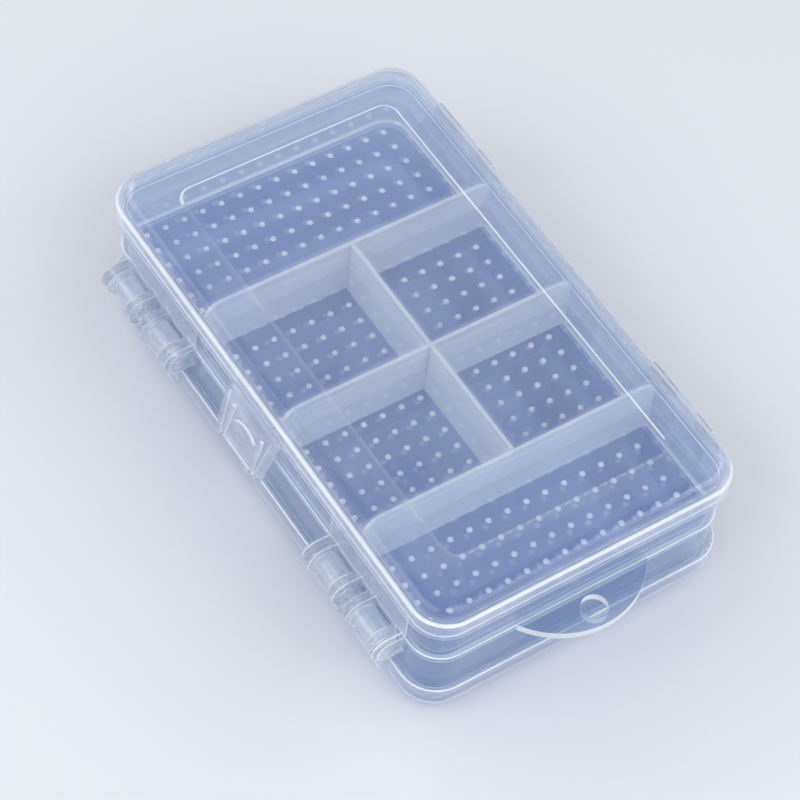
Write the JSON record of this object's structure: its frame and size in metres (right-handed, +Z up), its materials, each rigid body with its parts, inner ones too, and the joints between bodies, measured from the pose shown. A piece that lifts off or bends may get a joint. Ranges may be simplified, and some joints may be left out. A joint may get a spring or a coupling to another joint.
{
  "type": "double-sided compartment box",
  "caption": "Flat clear plastic box with divided compartments above and below a shared dotted floor, a hinged latching lid on each side and a half-moon hang tab.",
  "frame": {"origin": "middle of the bottom lid's raised panel, on which the box rests", "axes": "+X along the box towards the hang tab, +Y across it towards the top lid's hinges, +Z up"},
  "size_m": [0.117, 0.0754, 0.032],
  "materials": {
    "clear_plastic": "clear, glossy, faintly blue",
    "frosted_plastic": "frosted, satin"
  },
  "bodies": {
    "tray": {"tray_floor": "clear_plastic", "tray_upper_wall": "clear_plastic", "tray_lower_wall": "clear_plastic", "hang_tab": "clear_plastic", "front_catch": "clear_plastic", "rear_catch": "clear_plastic", "front_left_hinge_lugs": "clear_plastic", "front_right_hinge_lugs": "clear_plastic", "rear_left_hinge_lugs": "clear_plastic", "rear_right_hinge_lugs": "clear_plastic", "upper_first_divider": "frosted_plastic", "upper_second_divider": "frosted_plastic", "upper_third_divider": "frosted_plastic", "upper_first_long_divider": "frosted_plastic", "upper_second_long_divider": "frosted_plastic", "lower_first_divider": "frosted_plastic", "lower_second_divider": "frosted_plastic", "lower_third_divider": "frosted_plastic"},
    "top_lid": {"top_lid_band": "clear_plastic", "top_lid_edge": "clear_plastic", "top_lid_panel": "clear_plastic", "top_lid_left_leaf": "clear_plastic", "top_lid_right_leaf": "clear_plastic"},
    "bottom_lid": {"bottom_lid_band": "clear_plastic", "bottom_lid_edge": "clear_plastic", "bottom_lid_panel": "clear_plastic", "bottom_lid_left_leaf": "clear_plastic", "bottom_lid_right_leaf": "clear_plastic"},
    "top_latch": {"top_latch": "clear_plastic"},
    "bottom_latch": {"bottom_latch": "clear_plastic"}
  },
  "joints": [
    {"name": "top_lid_hinge", "type": "hinge", "parent": "tray", "child": "top_lid", "pos_m": [0, 0.0347, 0.0172], "axis": [-1, 0, 0], "range_deg": [0, 135]},
    {"name": "bottom_lid_hinge", "type": "hinge", "parent": "tray", "child": "bottom_lid", "pos_m": [0, -0.0347, 0.0148], "axis": [-1, 0, 0], "range_deg": [0, 135]},
    {"name": "top_latch_flex", "type": "hinge", "parent": "top_lid", "child": "top_latch", "pos_m": [0, -0.03325, 0.0254], "axis": [-1, 0, 0], "range_deg": [0, 15], "stiffness_Nm_per_rad": 0.05},
    {"name": "bottom_latch_flex", "type": "hinge", "parent": "bottom_lid", "child": "bottom_latch", "pos_m": [0, 0.03325, 0.0066], "axis": [-1, 0, 0], "range_deg": [0, 15], "stiffness_Nm_per_rad": 0.05}
  ]
}
